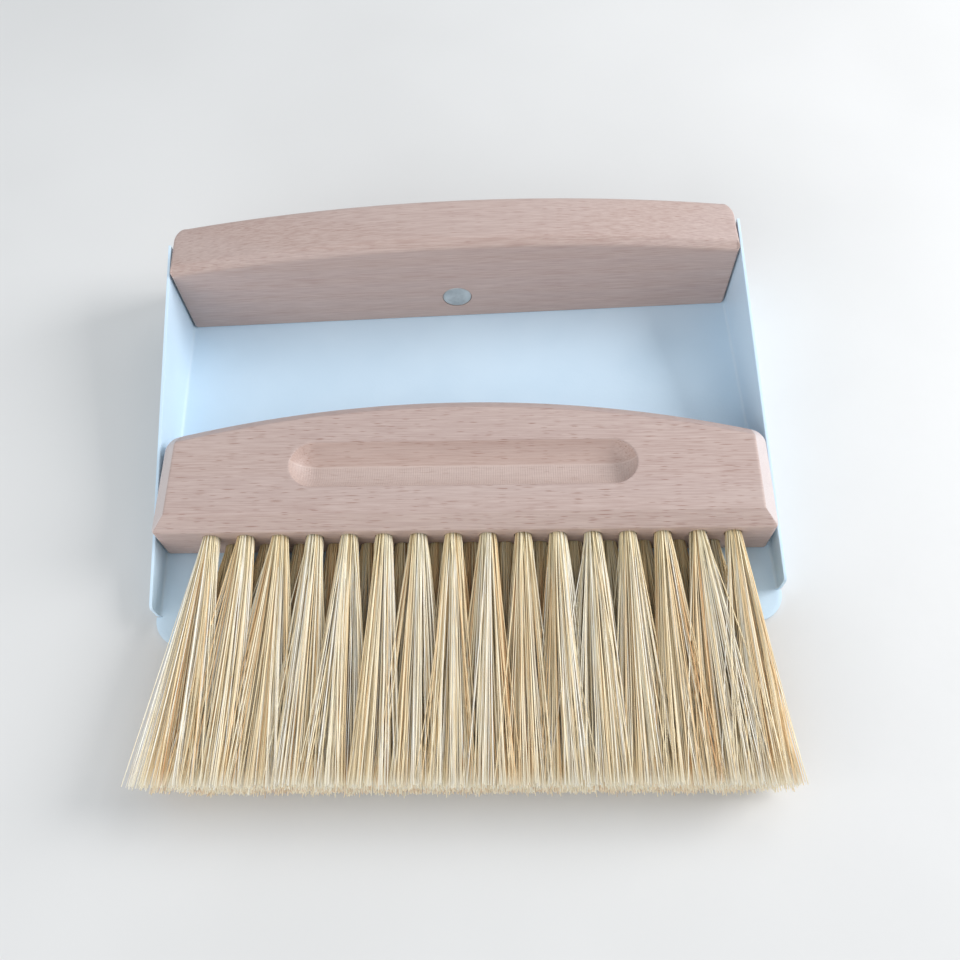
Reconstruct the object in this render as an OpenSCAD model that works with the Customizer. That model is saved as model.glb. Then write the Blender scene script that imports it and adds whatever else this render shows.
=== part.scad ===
// Dust pan and brush set.
// A folded sheet-metal pan has an arched beech board standing across its back as its handle.
// A hand brush of the same beech lies in the pan, with two staggered rows of fibre tufts that
// reach out over the pan's lip. A disc magnet in each board holds the brush against the handle.
//
// X runs across the pan, Y from its open front edge towards the handle, and Z up.
// The origin is on the surface that the pan rests on, under the middle of the handle's front face.

/* [Pan] */
// Width of the pan over its side walls
pan_w = 230; // [190:1:300]
// Depth of the floor from the handle's front face to the front edge
pan_reach = 142; // [120:1:200]
// Thickness of the sheet
sheet_t = 1; // [0.6:0.1:1.6]
// Inside radius of the bends between the floor and the side walls
bend_r = 1.2; // [0.6:0.1:2]
// Height of the side walls at their front ends
wall_front_h = 9.8; // [6:0.2:16]
// Height of the side walls at their back ends
wall_back_h = 37.7; // [28:0.1:44]
// How far the side walls stop short of the front edge
wall_setback = 11.5; // [6:0.5:20]
// How far the side walls run on past the handle's front face
wall_overlap = 14; // [6:0.5:20]
// Corner radius of the front edge
lip_corner_r = 11; // [4:0.5:20]
// Radius at the top front corner of each side wall
wall_corner_r = 3; // [1:0.5:5]

/* [Handle] */
// Thickness of the handle board
handle_t = 23.5; // [20:0.5:30]
// Height of the handle board at the middle of its arch
handle_h = 46; // [38:0.5:60]
// Radius of the handle's arch
handle_arch_r = 705; // [500:5:1200]
// Bevel along both edges of the handle's arch
handle_bevel = 2.8; // [1:0.1:5]
// Corner radius where the handle's arch meets its ends
handle_corner_r = 3; // [3:0.5:8]
// Radius of the upright corners at the back of the handle's ends
handle_back_r = 6; // [1:0.5:8]
// Gap between each end of the handle and the side wall
handle_end_gap = 0.6; // [0.2:0.1:2]

/* [Brush block] */
// Thickness of the brush block
block_t = 25; // [20:0.5:30]
// Gap between each end of the block and the side wall when the brush lies square in the pan
side_play = 1; // [0.5:0.1:4]
// Depth of the block from its tufted face to the middle of its arch
block_d = 54; // [44:0.5:70]
// Radius of the block's arched back
block_arch_r = 434; // [350:5:900]
// Bevel around the block's upper face
block_bevel = 5.3; // [2:0.1:6]
// Corner radius where the block's arch meets its ends
block_corner_r = 5; // [3:0.5:8]
// Length of the finger groove in the upper face
groove_l = 128; // [80:1:160]
// Radius of the round cutter that makes the finger groove
groove_cutter_r = 10; // [8:0.5:14]
// Depth of the finger groove
groove_depth = 6.5; // [3:0.1:7]
// Distance of the groove's middle line from the tufted face
groove_inset = 25; // [20:0.5:34]

/* [Tufts] */
// Number of tufts in the upper row, one more than in the lower row
upper_count = 16; // [10:1:20]
// Distance from each end of the block to the upper row's outermost hole, before the row's shift
end_margin = 18.1; // [10:0.1:24]
// How far the rows of holes stand to the right of the block's middle
row_shift = 2.7; // [-5:0.1:5]
// Wood left between a row of holes and the bevel next to it
row_margin = 1.7; // [1:0.1:3]
// Diameter of the tuft holes
hole_d = 6.6; // [4:0.1:7]
// Depth of the tuft holes
hole_depth = 13; // [10:0.5:18]
// Free length of the fibres in front of the block
fibre_l = 88; // [60:1:110]
// How much further out the outermost tufts reach at their tips than at their holes
tip_spread = 11; // [0:0.1:16]
// Gap between neighbouring tufts at their tips
tuft_gap = 1; // [0.3:0.1:4]
// Gap between the lowest tips and the floor of the pan
tip_floor_gap = 0.4; // [0.3:0.1:2]
// Width of the flat metal anchor that holds a folded tuft in its hole
anchor_w = 2.4; // [1.5:0.1:3]
// Thickness of the anchor
anchor_t = 0.4; // [0.3:0.05:0.6]
// How far each end of an anchor bites into the wood
anchor_bite = 0.5; // [0.3:0.1:1]

/* [Magnets and screws] */
// Diameter of the disc magnets
magnet_d = 12; // [8:0.5:14]
// Thickness of the disc magnets
magnet_t = 4; // [2:0.5:6]
// Number of screws up through the floor into the handle
screw_count = 4; // [2:1:6]
// Distance from each end of the handle to the outermost screw
screw_inset = 23.4; // [12:0.2:50]
// Diameter of the screw shanks
screw_d = 3.5; // [2.5:0.1:4]
// Diameter of the countersunk screw heads
screw_head_d = 7; // [5:0.1:8]
// Length of the screws from the head's face to the point
screw_l = 22; // [14:1:30]

/* [Where the brush lies] */
// Distance from the handle's front face to the middle of the block's arch
brush_back = 56; // [52:0.5:70]
// Gap left to each side wall where the brush lies turned between them
turned_gap = 0.35; // [0.3:0.05:1]

/* [Hidden] */
// Gap between the brush and the floor that it slides on
slide_gap = 0.2;
// Radial gap around a glued magnet and around a tuft in its hole
glue_gap = 0.05;
// Radial gap around a screw in the sheet and in the wood
screw_gap = 0.05;
// How far magnets and screw heads are set below the surface
sunk = 0.1;
// How much thinner a tuft is where it leaves its hole than in the hole
neck = 0.4;
// Length of a tuft's straight root in front of the block
root_stub = 0.3;
// Small length by which a cutting tool overruns a surface
over = 1;
// Facets of round shapes
$fn = 96;

inner_half_w = pan_w / 2 - sheet_t;
wall_front_y = -(pan_reach - wall_setback);
handle_l = 2 * (inner_half_w - handle_end_gap);
block_l = 2 * (inner_half_w - side_play);
block_z = sheet_t + slide_gap;
// The under edges of both boards are bevelled enough to clear the bends in the sheet
block_foot_bevel = bend_r;
handle_foot_bevel = bend_r + handle_end_gap;

// The straight end of the block starts this far in front of the middle of the arch
end_back = block_arch_r - sqrt(pow(block_arch_r - block_corner_r, 2)
                               - pow(block_l / 2 - block_corner_r, 2));
// The brush lies turned until its ends come near the side walls, midway between them
brush_turn = -asin(2 * (side_play - turned_gap) / (block_d - end_back));
brush_side = -sin(brush_turn) * (block_d + end_back) / 2;

magnet_z = block_z + block_t / 2;
magnet_r = magnet_d / 2;

hole_r = hole_d / 2;
lower_count = upper_count - 1;
tuft_pitch = (block_l - 2 * end_margin) / (upper_count - 1);
tip_pitch = tuft_pitch + 2 * tip_spread / (upper_count - 1);
lower_row_z = block_foot_bevel + row_margin + hole_r;
upper_row_z = block_t - block_bevel - row_margin - hole_r;
row_distance = norm([tip_pitch / 2, upper_row_z - lower_row_z]);
tip_r = min(tip_pitch, row_distance, 2 * (slide_gap + lower_row_z - tip_floor_gap)) / 2
        - tuft_gap / 2;
tip_drop = slide_gap + lower_row_z - tip_floor_gap - tip_r;
anchor_set = hole_depth - anchor_w - hole_r / 2;

screw_pitch = (handle_l - 2 * screw_inset) / (screw_count - 1);
screw_r = screw_d / 2;
screw_head_r = screw_head_d / 2;
sink_r = screw_head_r + sunk + screw_gap;
sink_top_r = screw_r + 3 * screw_gap;
sink_h = sink_r - sink_top_r;
// A 45 degree cone of sheet is this much wider outside than inside
sink_wall = sheet_t * sqrt(2);

beech = [0.80, 0.66, 0.55];
sheet_colour = [0.84, 0.89, 0.92];
magnet_colour = [0.72, 0.74, 0.74];
fibre_colour = [0.91, 0.85, 0.64];
steel_colour = [0.66, 0.67, 0.68];

function two_digits(i) = i < 10 ? str("0", i) : str(i);
function tuft_name(row, i) = str(row, "_tuft_", two_digits(i));

// ---- Shared shapes ----

// Points of an arc of radius r that rounds the corner at b between the edges to a and to c
function rounded_corner(a, b, c, r, steps = 8) =
    let (
        u = (a - b) / norm(a - b),
        v = (c - b) / norm(c - b),
        half = acos(u * v) / 2,
        centre = b + (u + v) / norm(u + v) * r / sin(half),
        start = b + u * r / tan(half) - centre,
        end = b + v * r / tan(half) - centre,
        from = atan2(start[1], start[0]),
        turn = atan2(end[1], end[0]) - from,
        sweep = turn > 180 ? turn - 360 : turn < -180 ? turn + 360 : turn
    )
    [for (k = [0 : steps]) centre + r * [cos(from + sweep * k / steps), sin(from + sweep * k / steps)]];

// Half section of a disc of radius r and height h, bevelled at its foot and at its top
function disc_section(r, h, foot, top) = [
    [0, 0], [max(r - foot, 0), 0], [r, min(foot, r)], [r, h - top],
    [max(r - top, 0), h - top + min(top, r)], [0, h - top + min(top, r)]
];

// A board whose back edge is an arch with its middle at the origin, and whose front edge is straight.
// The arch is bevelled by foot at the under face and by top at the upper face.
module arched_board(l, d, t, arch_r, corner_r, foot, top) {
    corner_x = l / 2 - corner_r;
    corner_y = -arch_r + sqrt(pow(arch_r - corner_r, 2) - pow(corner_x, 2));
    lean = asin(corner_x / (arch_r - corner_r));
    reach = 3 * corner_r;
    difference() {
        intersection() {
            translate([0, -arch_r, 0])
                rotate_extrude($fn = 720)
                    polygon(disc_section(arch_r, t, foot, top));
            translate([-l / 2, -d, 0])
                cube([l, d, t]);
        }
        for (side = [0, 1])
            mirror([side, 0, 0])
                difference() {
                    translate([0, 0, -over])
                        linear_extrude(t + 2 * over)
                            polygon([
                                [corner_x, corner_y],
                                [corner_x + reach, corner_y],
                                [corner_x + reach, corner_y + reach],
                                [corner_x + reach * sin(lean), corner_y + reach * cos(lean)]
                            ]);
                    translate([corner_x, corner_y, 0])
                        rotate_extrude()
                            polygon(disc_section(corner_r, t, foot, top));
                }
    }
}

// Section of a plate from 0 to w, bevelled at both ends: by foot below and by top above
module bevelled_plate(w, t, foot, top) {
    polygon([
        [foot, 0], [w - foot, 0], [w, foot], [w, t - top],
        [w - top, t], [top, t], [0, t - top], [0, foot]
    ]);
}

// Puts its children where the brush lies in the pan
module in_brush_place() {
    translate([brush_side, -brush_back, block_z])
        rotate([0, 0, brush_turn])
            children();
}

// Puts a child at every screw, at the height of the pan's under face
module at_screws() {
    for (k = [0 : screw_count - 1])
        translate([(k - (screw_count - 1) / 2) * screw_pitch, handle_t / 2, 0])
            children();
}

// ---- Pan ----

// Outline of the floor: full width at the lip, and up to the bends between the walls
module floor_outline() {
    lip_l = wall_setback;
    flat_half_w = inner_half_w - bend_r;
    translate([-flat_half_w, wall_front_y - over])
        square([2 * flat_half_w, handle_t - wall_front_y + over]);
    intersection() {
        translate([-pan_w / 2, -pan_reach])
            square([pan_w, lip_l]);
        union() {
            translate([-pan_w / 2, -pan_reach + lip_corner_r])
                square([pan_w, lip_l + lip_corner_r]);
            translate([-pan_w / 2 + lip_corner_r, -pan_reach])
                square([pan_w - 2 * lip_corner_r, lip_l + lip_corner_r]);
            for (side = [-1, 1])
                translate([side * (pan_w / 2 - lip_corner_r), -pan_reach + lip_corner_r])
                    circle(lip_corner_r);
        }
    }
}

// The right side wall above its bend, and the bend itself
module side_wall() {
    bend_z = sheet_t + bend_r;
    foot_front = [wall_front_y, bend_z];
    top_front = [wall_front_y, wall_front_h];
    top_back = [wall_overlap, wall_back_h];
    foot_back = [wall_overlap, bend_z];
    translate([inner_half_w, 0, 0])
        rotate([90, 0, 90])
            linear_extrude(sheet_t)
                polygon(concat(
                    [foot_front],
                    rounded_corner(foot_front, top_front, top_back, wall_corner_r),
                    [top_back, foot_back]
                ));
    translate([inner_half_w - bend_r, wall_overlap, bend_z])
        rotate([90, 0, 0])
            linear_extrude(wall_overlap - wall_front_y)
                intersection() {
                    difference() {
                        circle(bend_r + sheet_t);
                        circle(bend_r);
                    }
                    translate([0, -bend_r - sheet_t])
                        square(bend_r + sheet_t);
                }
}

// A dimple pressed up in the floor, so that a countersunk screw head lies flush below
module screw_dimple() {
    rim = sink_r + sink_wall;
    rotate_extrude()
        polygon([
            [sink_r, 0], [rim, 0], [rim, sheet_t], [rim - sheet_t, sheet_t],
            [sink_top_r + sink_wall, sink_h], [sink_top_r, sink_h]
        ]);
}

module pan_tray() {
    color(sheet_colour) {
        difference() {
            linear_extrude(sheet_t)
                floor_outline();
            at_screws()
                translate([0, 0, -over])
                    cylinder(h = sheet_t + 2 * over, r = sink_r + sink_wall / 2);
        }
        at_screws()
            screw_dimple();
        for (side = [0, 1])
            mirror([side, 0, 0])
                side_wall();
    }
}

// Plan of the handle: square in front, with rounded corners at the back
module handle_plan() {
    translate([-handle_l / 2, 0])
        square([handle_l, handle_t - handle_back_r]);
    translate([-handle_l / 2 + handle_back_r, 0])
        square([handle_l - 2 * handle_back_r, handle_t]);
    for (side = [-1, 1])
        translate([side * (handle_l / 2 - handle_back_r), handle_t - handle_back_r])
            circle(handle_back_r);
}

module pan_handle() {
    color(beech)
        difference() {
            intersection() {
                translate([0, handle_t, sheet_t + handle_h])
                    rotate([90, 0, 0])
                        arched_board(handle_l, handle_h, handle_t, handle_arch_r,
                                     handle_corner_r, handle_bevel, handle_bevel);
                linear_extrude(sheet_t + handle_h + over)
                    handle_plan();
            }
            for (side = [-1, 1])
                translate([side * handle_l / 2, handle_t / 2, sheet_t])
                    rotate([0, 45, 0])
                        cube([handle_foot_bevel * sqrt(2), handle_t + 2 * over,
                              handle_foot_bevel * sqrt(2)], center = true);
            translate([0, magnet_t + sunk, magnet_z])
                rotate([90, 0, 0])
                    cylinder(h = magnet_t + sunk + over, r = magnet_r + glue_gap);
            at_screws()
                translate([0, 0, sheet_t]) {
                    cylinder(h = screw_l - sheet_t + over, r = screw_r + screw_gap);
                    translate([0, 0, -over])
                        cylinder(h = sink_h - sheet_t + screw_gap + over,
                                 r = sink_r + sink_wall - sheet_t + screw_gap);
                }
        }
}

module pan_magnet() {
    color(magnet_colour)
        translate([0, magnet_t + sunk, magnet_z])
            rotate([90, 0, 0])
                cylinder(h = magnet_t, r = magnet_r);
}

// One countersunk wood screw with a cross recess, point up
module wood_screw() {
    head_h = screw_head_r - screw_r;
    point_h = 2 * screw_d;
    recess_w = screw_d / 4;
    recess_l = screw_head_r;
    recess_depth = head_h * 0.8;
    translate([0, 0, sunk])
        difference() {
            rotate_extrude()
                polygon([
                    [0, 0], [screw_head_r, 0], [screw_r, head_h],
                    [screw_r, screw_l - point_h], [0, screw_l]
                ]);
            for (turn = [0, 90])
                rotate([0, 0, turn])
                    translate([-recess_l / 2, -recess_w / 2, -over])
                        cube([recess_l, recess_w, recess_depth + over]);
        }
}

module handle_screws() {
    color(steel_colour)
        at_screws()
            wood_screw();
}

// ---- Brush, in its own frame: the middle of the arch at the origin, the tufts towards -Y ----

// Long round-nosed groove for the fingers, cut down into the upper face
module finger_groove() {
    half_w = sqrt(groove_depth * (2 * groove_cutter_r - groove_depth));
    travel = groove_l - 2 * half_w;
    translate([0, groove_inset - block_d, block_t - groove_depth + groove_cutter_r]) {
        rotate([0, 90, 0])
            cylinder(h = travel, r = groove_cutter_r, center = true);
        for (side = [-1, 1])
            translate([side * travel / 2, 0, 0])
                sphere(groove_cutter_r);
    }
}

// Sideways place of hole number i in a row of count holes
function hole_x(i, count) = row_shift + (i - (count + 1) / 2) * tuft_pitch;

// Sideways place of the tip of tuft number i
function tip_x(i, count) = (i - (count + 1) / 2) * tip_pitch;

// Puts a child at every tuft hole's mouth
module at_holes() {
    for (i = [1 : upper_count])
        translate([hole_x(i, upper_count), -block_d, upper_row_z])
            children();
    for (i = [1 : lower_count])
        translate([hole_x(i, lower_count), -block_d, lower_row_z])
            children();
}

// A flat strip of metal across a tuft hole, grown by gap on every side
module anchor(gap = 0) {
    l = 2 * (hole_r + anchor_bite + gap);
    translate([-l / 2, anchor_set - gap, -anchor_t / 2 - gap])
        cube([l, anchor_w + 2 * gap, anchor_t + 2 * gap]);
}

module brush_block() {
    color(beech)
        in_brush_place()
            difference() {
                intersection() {
                    arched_board(block_l, block_d, block_t, block_arch_r,
                                 block_corner_r, block_foot_bevel, block_bevel);
                    translate([-block_l / 2, over, 0])
                        rotate([90, 0, 0])
                            linear_extrude(block_d + 2 * over)
                                bevelled_plate(block_l, block_t, block_foot_bevel, block_bevel);
                    translate([-block_l / 2 - over, -block_d, 0])
                        rotate([90, 0, 90])
                            linear_extrude(block_l + 2 * over)
                                bevelled_plate(3 * block_d, block_t, block_foot_bevel, block_bevel);
                }
                finger_groove();
                at_holes()
                    translate([0, hole_depth, 0])
                        rotate([90, 0, 0])
                            cylinder(h = hole_depth + over, r = hole_r);
                translate([0, over, block_t / 2])
                    rotate([90, 0, 0])
                        cylinder(h = magnet_t + 2 * sunk + over, r = magnet_r + glue_gap);
            }
}

module brush_magnet() {
    color(magnet_colour)
        in_brush_place()
            translate([0, -2 * sunk, block_t / 2])
                rotate([90, 0, 0])
                    cylinder(h = magnet_t, r = magnet_r);
}

module tuft_anchors() {
    color(steel_colour)
        in_brush_place()
            at_holes()
                anchor();
}

// One tuft: a root folded over its anchor, and a cone of fibres that leans outwards and spreads
module tuft(row, i) {
    count = row == "upper" ? upper_count : lower_count;
    z = row == "upper" ? upper_row_z : lower_row_z;
    drop = row == "upper" ? 0 : tip_drop;
    root_r = hole_r - glue_gap;
    lean = [tip_x(i, count) - hole_x(i, count), -fibre_l - over, -drop];
    color(fibre_colour)
        in_brush_place()
            translate([hole_x(i, count), -block_d, z])
                difference() {
                    union() {
                        translate([0, hole_depth - glue_gap, 0])
                            rotate([90, 0, 0])
                                cylinder(h = hole_depth - glue_gap + root_stub, r = root_r);
                        translate([0, over, 0])
                            rotate([0, 0, atan2(lean[0], -lean[1])])
                                rotate([90 + asin(drop / norm(lean)), 0, 0])
                                    cylinder(h = norm(lean), r1 = root_r - neck, r2 = tip_r);
                    }
                    anchor(glue_gap);
                }
}

pan_tray();
pan_handle();
pan_magnet();
handle_screws();
brush_block();
brush_magnet();
tuft_anchors();
for (i = [1 : upper_count])
    tuft("upper", i);
for (i = [1 : lower_count])
    tuft("lower", i);
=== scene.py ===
# %% [markdown]
# # Dust pan and brush
# A pan folded from one sheet of coated steel has an arched beech board as its handle. A beech hand
# brush with two rows of plant-fibre tufts lies in it. The solid model fixes every place and size,
# so this lesson starts by loading it, and then makes each visible piece again with softened edges,
# real fibres and finishes worked out by shader nodes. Lengths are in metres.

# %% Load the solid model
import math
import bpy
import bmesh
import numpy as np
from mathutils import Matrix, Vector


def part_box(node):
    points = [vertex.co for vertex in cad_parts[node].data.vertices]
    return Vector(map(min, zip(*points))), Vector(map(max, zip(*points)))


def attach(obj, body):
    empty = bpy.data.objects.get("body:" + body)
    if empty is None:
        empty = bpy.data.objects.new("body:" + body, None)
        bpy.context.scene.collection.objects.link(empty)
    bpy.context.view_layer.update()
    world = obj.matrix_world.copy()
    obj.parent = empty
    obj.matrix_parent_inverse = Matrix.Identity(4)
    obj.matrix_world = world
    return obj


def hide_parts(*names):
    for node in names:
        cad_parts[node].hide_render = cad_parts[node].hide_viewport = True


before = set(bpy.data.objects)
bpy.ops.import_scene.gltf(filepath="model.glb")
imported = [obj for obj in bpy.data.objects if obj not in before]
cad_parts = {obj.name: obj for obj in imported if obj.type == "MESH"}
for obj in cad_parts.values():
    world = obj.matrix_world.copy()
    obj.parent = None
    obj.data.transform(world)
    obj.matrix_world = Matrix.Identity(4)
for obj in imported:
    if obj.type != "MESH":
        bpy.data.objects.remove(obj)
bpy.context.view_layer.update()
MM = 0.001

# %% [markdown]
# ## Camera
# The set is seen from in front and above, a little to the right of its middle. The camera comes
# first because every later choice of detail depends on how near it looks. A camera can be aimed with
# a constraint, but here its three axes are written as a matrix from yaw, pitch and roll, so that the
# slight roll of a hand-held view is kept.

# %% Camera from yaw, pitch and roll
def view_axes(yaw, pitch, roll):
    """Right, up and forward of a camera that turns left by yaw, looks down by pitch and rolls.

    The level forward direction is turned by yaw, tipped down by pitch, and right and up are then
    turned about the forward direction by roll."""
    level = np.array([-math.sin(yaw), math.cos(yaw), 0.0])
    side = np.array([math.cos(yaw), math.sin(yaw), 0.0])
    sky = np.array([0.0, 0.0, 1.0])
    forward = math.cos(pitch) * level - math.sin(pitch) * sky
    upright = math.sin(pitch) * level + math.cos(pitch) * sky
    right = math.cos(roll) * side + math.sin(roll) * upright
    up = -math.sin(roll) * side + math.cos(roll) * upright
    return right, up, forward


right, up, forward = view_axes(math.radians(0.915), math.radians(62.897), math.radians(-3.421))
camera_data = bpy.data.cameras.new("view")
camera_data.sensor_width = 36.0
camera_data.lens = 36.04
camera = bpy.data.objects.new("view", camera_data)
bpy.context.collection.objects.link(camera)
turn = Matrix((right, up, -forward)).transposed()
camera.matrix_world = Matrix.Translation((0.00895, -0.25133, 0.33629)) @ turn.to_4x4()
bpy.context.scene.camera = camera
bpy.context.scene.view_settings.view_transform = "Standard"
print("camera stands", round(camera.location.length, 3), "m from the origin")

# %% [markdown]
# ## Floor and light
# A plain pale floor and large soft lamps keep attention on the object. One wide lamp stands low to
# the right like a window, so that faces turned to the right are bright and the right wall shades
# part of the pan. An even pale sky, a lamp in front and two dim ones, behind and to the left, keep
# the other faces readable. The floor lies a hair below the pan, so that their faces don't coincide.

# %% Floor, lamps and background
def area_lamp(name, place, aim, size, power, colour):
    """A square lamp at place that faces aim."""
    data = bpy.data.lights.new(name, "AREA")
    data.size = size
    data.energy = power
    data.color = colour
    lamp = bpy.data.objects.new(name, data)
    lamp.location = place
    direction = Vector(aim) - Vector(place)
    lamp.rotation_euler = direction.to_track_quat("-Z", "Y").to_euler()
    bpy.context.collection.objects.link(lamp)
    return lamp


def put_mesh(name, points, faces):
    """A mesh object from an (n, 3) array of points and a list of index arrays, one per face size."""
    mesh = bpy.data.meshes.new(name)
    mesh.vertices.add(len(points))
    mesh.vertices.foreach_set("co", np.ascontiguousarray(points, dtype=np.float32).ravel())
    corners = np.concatenate([group.ravel() for group in faces]).astype(np.int32)
    counts = np.concatenate([np.full(len(group), group.shape[1]) for group in faces])
    mesh.loops.add(len(corners))
    mesh.loops.foreach_set("vertex_index", corners)
    mesh.polygons.add(len(counts))
    mesh.polygons.foreach_set("loop_start", (np.cumsum(counts) - counts).astype(np.int32))
    mesh.update(calc_edges=True)
    mesh.validate()
    mesh.shade_smooth()
    piece = bpy.data.objects.new(name, mesh)
    bpy.context.collection.objects.link(piece)
    return piece


FLOOR_HALF = 3.0
FLOOR_GAP = 0.4 * MM
floor_corners = np.array([[-1, -1], [1, -1], [1, 1], [-1, 1]]) * FLOOR_HALF
floor_points = np.column_stack([floor_corners, np.full(4, -FLOOR_GAP)])
floor = put_mesh("floor", floor_points, [np.array([[0, 1, 2, 3]])])
area_lamp("window", (1.10, 0.12, 0.66), (0.0, -0.06, 0.0), 0.6, 13.5, (0.98, 0.98, 1.0))
area_lamp("fill", (-0.5, -1.3, 0.60), (0.0, -0.08, 0.0), 1.4, 8.2, (0.99, 0.98, 1.0))
area_lamp("rear", (0.62, 0.85, 1.10), (0.05, 0.0, 0.03), 0.6, 3.0, (0.96, 0.98, 1.0))
area_lamp("side", (-0.85, -0.42, 0.42), (-0.05, 0.0, 0.02), 0.5, 1.7, (1.0, 0.98, 0.96))
world = bpy.data.worlds.new("studio")
world.use_nodes = True
world.node_tree.nodes["Background"].inputs["Color"].default_value = (0.86, 0.93, 1.0, 1.0)
world.node_tree.nodes["Background"].inputs["Strength"].default_value = 0.56
bpy.context.scene.world = world

# %% [markdown]
# ## Node helpers
# Every finish below is a small graph of shader nodes. A few helpers keep the graphs short: they add
# a node with its settings, join two sockets, stretch a pattern, carry a value from one range to
# another, do sums, and mix two colours. Effects that more than one finish needs are node groups with
# named inputs and outputs.

# %% Short ways to write a node graph
def add(tree, kind, **settings):
    """Adds a node to tree and gives its properties and, by socket name or number, its inputs."""
    node = tree.nodes.new(kind)
    for key, value in settings.items():
        if key == "inputs":
            for socket, number in value.items():
                node.inputs[socket].default_value = number
        else:
            setattr(node, key, value)
    return node


def join(tree, source, target):
    """Links an output socket to an input socket."""
    tree.links.new(source, target)


def scaled(tree, vector, scale, turn=0.0):
    """The vector turned about Z by turn and then multiplied, axis by axis, by scale."""
    node = add(tree, "ShaderNodeMapping", vector_type="POINT")
    node.inputs["Rotation"].default_value = (0.0, 0.0, turn)
    node.inputs["Scale"].default_value = scale
    join(tree, vector, node.inputs["Vector"])
    return node.outputs["Vector"]


def remap(tree, value, low, high, to_low=0.0, to_high=1.0):
    """value carried smoothly from the range low..high to the range to_low..to_high, and held there."""
    limits = {"From Min": low, "From Max": high, "To Min": to_low, "To Max": to_high}
    node = add(tree, "ShaderNodeMapRange", interpolation_type="SMOOTHSTEP", inputs=limits)
    join(tree, value, node.inputs["Value"])
    return node.outputs["Result"]


def arithmetic(tree, operation, *values):
    """A math node on one, two or three values, each a socket or a number."""
    node = add(tree, "ShaderNodeMath", operation=operation)
    for socket, value in zip(node.inputs, values):
        if isinstance(value, (int, float)):
            socket.default_value = value
        else:
            join(tree, value, socket)
    return node.outputs["Value"]


def blend_colour(tree, amount, first, second):
    """Two colours mixed by amount, each a socket or a plain colour; sockets 6 and 7 take colours."""
    node = add(tree, "ShaderNodeMix", data_type="RGBA", blend_type="MIX", clamp_factor=True)
    for socket, value in zip((node.inputs[number] for number in (0, 6, 7)), (amount, first, second)):
        if isinstance(value, (int, float)):
            socket.default_value = value
        elif isinstance(value, tuple):
            socket.default_value = (*value, 1.0)
        else:
            join(tree, value, socket)
    return node.outputs[2]


def new_group(name, inputs, outputs):
    """An empty shader node group with the named inputs, as (name, kind, value), and outputs."""
    tree = bpy.data.node_groups.new(name, "ShaderNodeTree")
    for title, kind, value in inputs:
        socket = tree.interface.new_socket(title, in_out="INPUT", socket_type=kind)
        if value is not None:
            socket.default_value = value
    for title, kind in outputs:
        tree.interface.new_socket(title, in_out="OUTPUT", socket_type=kind)
    return tree, tree.nodes.new("NodeGroupInput"), tree.nodes.new("NodeGroupOutput")


def new_material(name, **constants):
    """A material with an empty graph but for a Principled BSDF, whose constant sockets are set."""
    material = bpy.data.materials.new(name)
    material.use_nodes = True
    tree = material.node_tree
    shader = tree.nodes["Principled BSDF"]
    for socket, value in constants.items():
        shader.inputs[socket.replace("_", " ")].default_value = value
    return material, tree, shader


print("node helpers ready")

# %% [markdown]
# ## A shared effect: fine unevenness
# Coated steel, plated steel and even a painted floor are never one even tone. This group gives a
# slow mottle for colour, and a fine grain for roughness and height. It is used by several finishes,
# each with its own sizes, so it is built once.

# %% Unevenness group
def build_unevenness():
    """Slow mottle is noise at the patch size; fine grain is noise at the grain size."""
    tree, source, result = new_group(
        "unevenness",
        [("Vector", "NodeSocketVector", None), ("Patch", "NodeSocketFloat", 20.0),
         ("Grain", "NodeSocketFloat", 900.0)],
        [("Mottle", "NodeSocketFloat"), ("Fine", "NodeSocketFloat")])
    patch = add(tree, "ShaderNodeTexNoise", inputs={"Detail": 3.0, "Roughness": 0.5})
    grain = add(tree, "ShaderNodeTexNoise", inputs={"Detail": 2.0, "Roughness": 0.6})
    for node, title in ((patch, "Patch"), (grain, "Grain")):
        join(tree, source.outputs["Vector"], node.inputs["Vector"])
        join(tree, source.outputs[title], node.inputs["Scale"])
    join(tree, patch.outputs["Fac"], result.inputs["Mottle"])
    join(tree, grain.outputs["Fac"], result.inputs["Fine"])
    return tree


unevenness = build_unevenness()


def use_group(tree, group, vector, **values):
    """Places a node group, feeds its Vector, and sets its other inputs."""
    node = tree.nodes.new("ShaderNodeGroup")
    node.node_tree = group
    join(tree, vector, node.inputs["Vector"])
    for title, value in values.items():
        node.inputs[title].default_value = value
    return node


def bumped(tree, shader, height, strength, distance):
    """Feeds a height into the shader's normal through a Bump node."""
    bump = add(tree, "ShaderNodeBump", inputs={"Strength": strength, "Distance": distance})
    join(tree, height, bump.inputs["Height"])
    join(tree, bump.outputs["Normal"], shader.inputs["Normal"])


print("group:", unevenness.name)

# %% [markdown]
# ## Powder-coated steel
# The pan is sprayed with a pale blue-white powder that melts into an even satin skin. Close up the
# skin has a faint ripple, like the peel of an orange. Colour stays almost constant, and the ripple
# does the work: it breaks up the reflection of the window.

# %% Powder coat and floor finishes
def object_place(tree):
    """The place of a point in the object's own coordinates, in metres."""
    return add(tree, "ShaderNodeTexCoord").outputs["Object"]


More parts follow.
